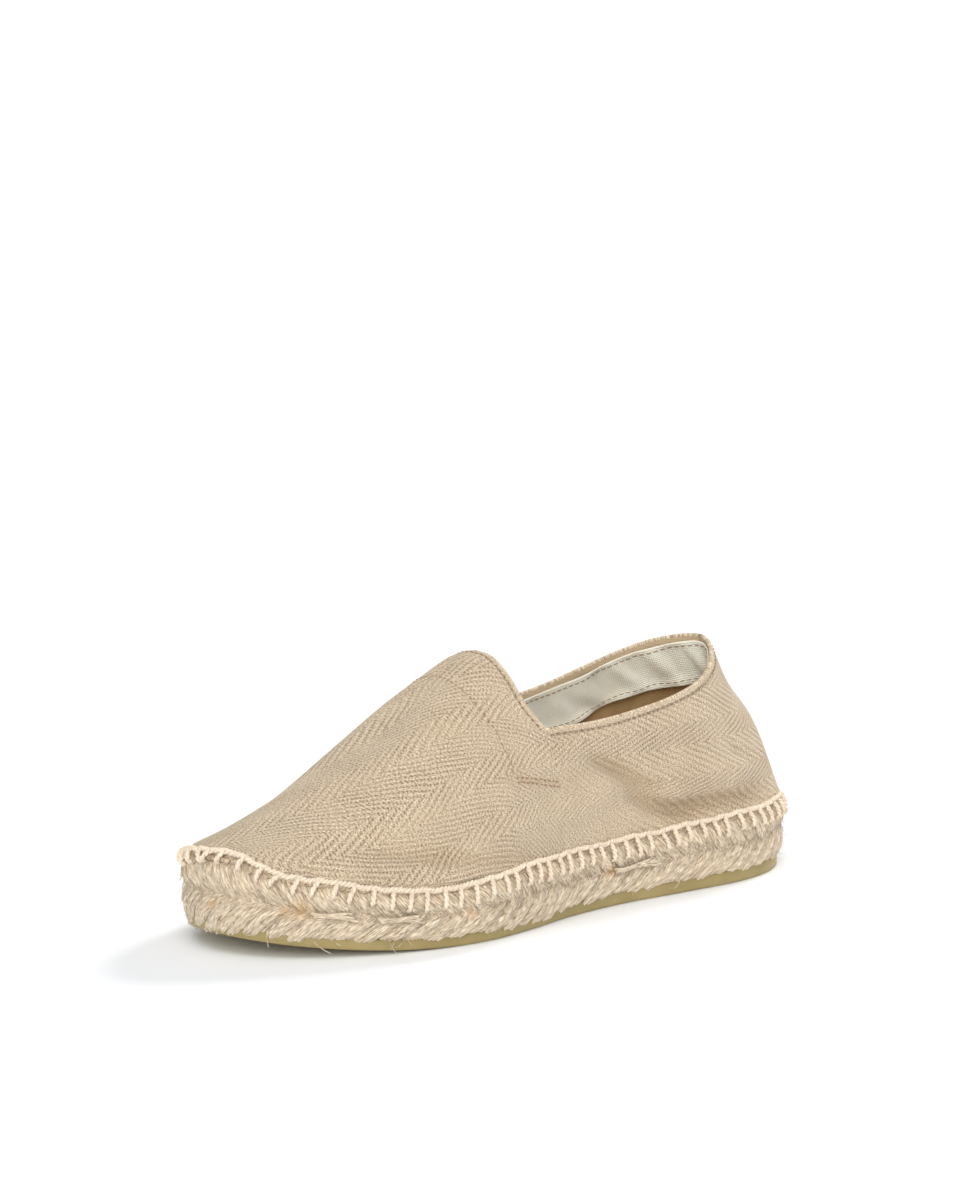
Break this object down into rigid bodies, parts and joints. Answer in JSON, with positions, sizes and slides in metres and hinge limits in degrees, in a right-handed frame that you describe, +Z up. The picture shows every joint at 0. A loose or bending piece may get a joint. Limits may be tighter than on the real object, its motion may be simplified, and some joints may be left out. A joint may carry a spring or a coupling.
{
  "type": "espadrille",
  "caption": "Slip-on canvas shoe for the left foot, with a braided jute sole, a thin rubber outsole and a square-cornered throat.",
  "frame": {"origin": "on the floor under the middle of the shoe's bounding box", "axes": "+X towards the toe, +Y towards the outer side of the left foot, +Z up"},
  "size_m": [0.2614, 0.0942, 0.0922],
  "materials": {
    "rubber": "matte, slightly translucent olive gum rubber",
    "jute": "braided jute cord, fibrous and matte",
    "footbed": "plain woven cotton over the jute",
    "canvas": "beige herringbone cotton canvas, matte"
  },
  "bodies": {
    "root": {"outsole": "rubber", "midsole": "jute", "insole": "footbed", "upper": "canvas"}
  },
  "joints": []
}
